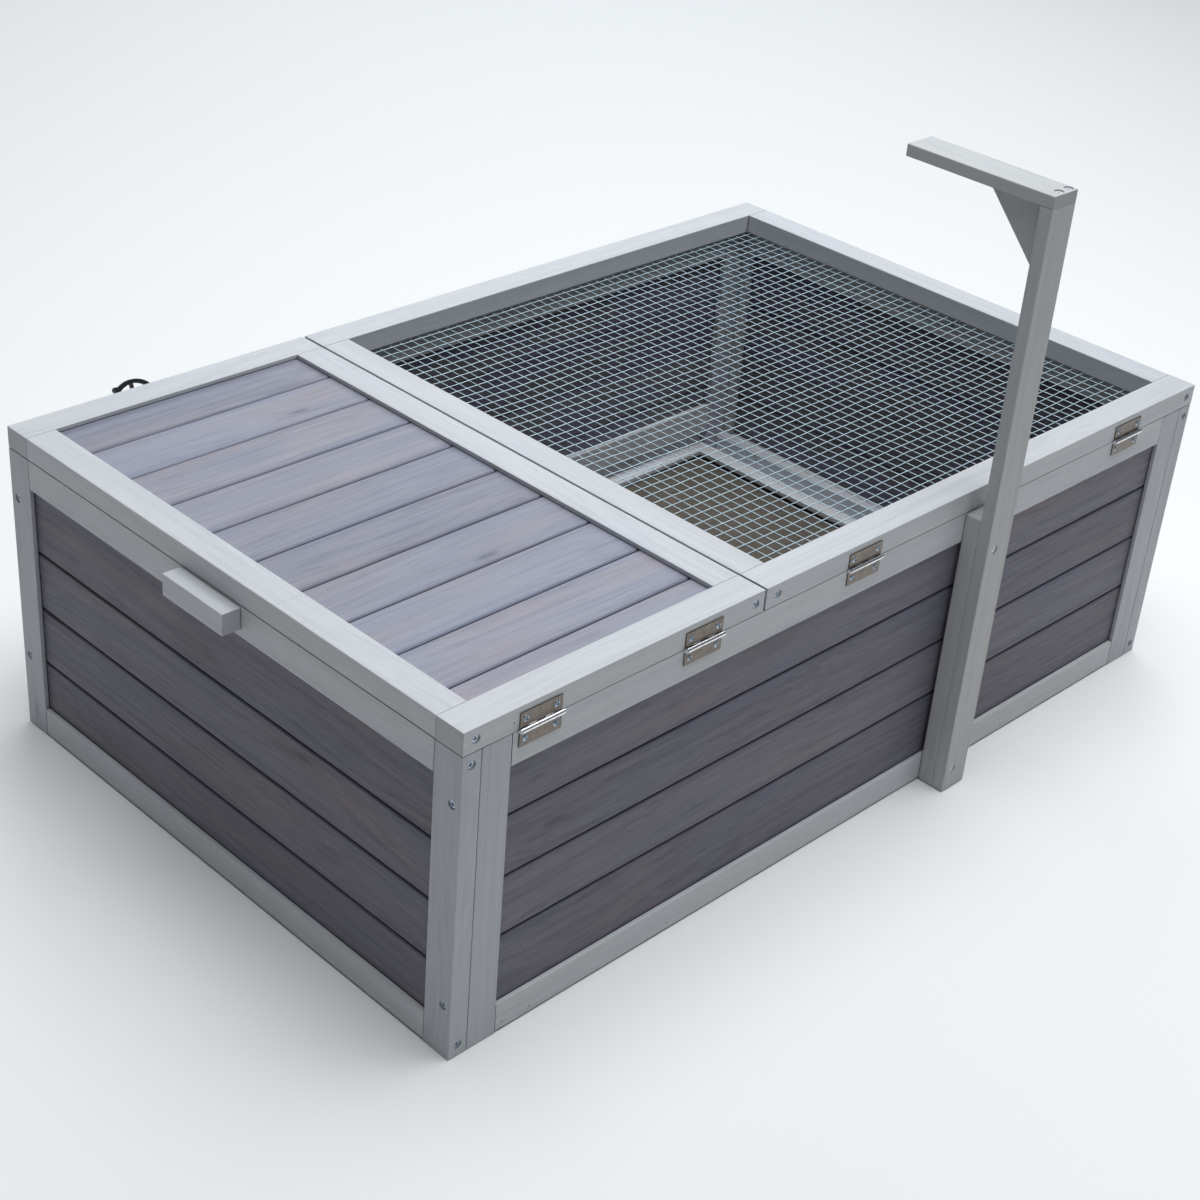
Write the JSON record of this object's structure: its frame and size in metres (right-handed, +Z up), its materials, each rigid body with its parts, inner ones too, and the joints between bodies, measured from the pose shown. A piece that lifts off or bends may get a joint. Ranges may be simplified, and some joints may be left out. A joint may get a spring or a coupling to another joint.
{
  "type": "rabbit hutch",
  "caption": "Low timber hutch with boarded walls, a hinged boarded lid, a hinged wire mesh lid, a pull-out tray and a post with an arm for a lamp.",
  "frame": {"origin": "centre of the bounding box's footprint, on the ground", "axes": "+X along the length from the boarded-lid end to the mesh-lid end, +Y from the hinge side to the clasp side, +Z up"},
  "size_m": [0.9756, 0.6302, 0.578],
  "materials": {
    "frame_wood": "pale grey painted softwood, matt, faint grain",
    "wall_boards": "dark violet-grey stained tongued boards, matt",
    "lid_boards": "violet-grey stained tongued boards, matt",
    "tray_wood": "pale grey painted softwood, matt",
    "tray_floor": "brown-grey plywood, matt",
    "hinge_metal": "nickel-plated steel, dull leaves and bright knuckles",
    "zinc_fixings": "zinc-plated steel, satin",
    "mesh_wire": "galvanised wire, satin",
    "clasp_metal": "black lacquered steel, satin"
  },
  "bodies": {
    "hutch": {"back_left_stile": "frame_wood", "back_right_stile": "frame_wood", "back_top_rail": "frame_wood", "back_bottom_rail": "frame_wood", "back_boards": "wall_boards", "front_left_stile": "frame_wood", "front_right_stile": "frame_wood", "front_top_rail": "frame_wood", "front_bottom_rail": "frame_wood", "front_boards": "wall_boards", "left_back_stile": "frame_wood", "left_front_stile": "frame_wood", "left_top_rail": "frame_wood", "left_bottom_rail": "frame_wood", "left_boards": "wall_boards", "right_back_stile": "frame_wood", "right_front_stile": "frame_wood", "right_top_rail": "frame_wood", "right_bottom_rail": "frame_wood", "right_boards": "wall_boards", "carry_handles": "frame_wood", "partition_top_rail": "frame_wood", "partition_posts": "frame_wood", "partition_boards": "wall_boards", "tray_guides": "tray_wood", "lamp_batten": "frame_wood", "lamp_post": "frame_wood", "lamp_arm": "frame_wood", "lamp_gusset": "frame_wood", "hinge_1_lower_leaf": "hinge_metal", "hinge_2_lower_leaf": "hinge_metal", "hinge_3_lower_leaf": "hinge_metal", "hinge_4_lower_leaf": "hinge_metal", "hinge_pins": "hinge_metal", "frame_screws": "zinc_fixings", "lamp_screws": "zinc_fixings", "hardware_screws": "zinc_fixings", "clasp_base": "clasp_metal", "clasp_pin": "zinc_fixings"},
    "solid_lid": {"solid_lid_back_rail": "frame_wood", "solid_lid_front_rail": "frame_wood", "solid_lid_left_rail": "frame_wood", "solid_lid_right_rail": "frame_wood", "solid_lid_boards": "lid_boards", "hinge_1_upper_leaf": "hinge_metal", "hinge_2_upper_leaf": "hinge_metal", "solid_lid_screws": "zinc_fixings", "clasp_keeper": "clasp_metal"},
    "mesh_lid": {"mesh_lid_back_rail": "frame_wood", "mesh_lid_front_rail": "frame_wood", "mesh_lid_left_rail": "frame_wood", "mesh_lid_right_rail": "frame_wood", "wire_mesh": "mesh_wire", "hinge_3_upper_leaf": "hinge_metal", "hinge_4_upper_leaf": "hinge_metal", "mesh_lid_fixings": "zinc_fixings"},
    "tray": {"tray_front": "tray_wood", "tray_battens": "tray_wood", "tray_floor": "tray_floor"},
    "bail": {"clasp_bail": "clasp_metal"}
  },
  "joints": [
    {"name": "solid_lid_hinge", "type": "hinge", "parent": "hutch", "child": "solid_lid", "pos_m": [-0.31, -0.28959, 0.2828], "axis": [1, 0, 0], "range_deg": [0, 175]},
    {"name": "mesh_lid_hinge", "type": "hinge", "parent": "hutch", "child": "mesh_lid", "pos_m": [0.163, -0.28959, 0.2828], "axis": [1, 0, 0], "range_deg": [0, 47.5]},
    {"name": "tray_slide", "type": "slide", "parent": "hutch", "child": "tray", "axis": [0, 1, 0], "range_m": [0, 0.45]},
    {"name": "bail_pivot", "type": "hinge", "parent": "hutch", "child": "bail", "pos_m": [-0.3355, 0.29986, 0.272], "axis": [-1, 0, 0], "range_deg": [-11, 154]}
  ]
}
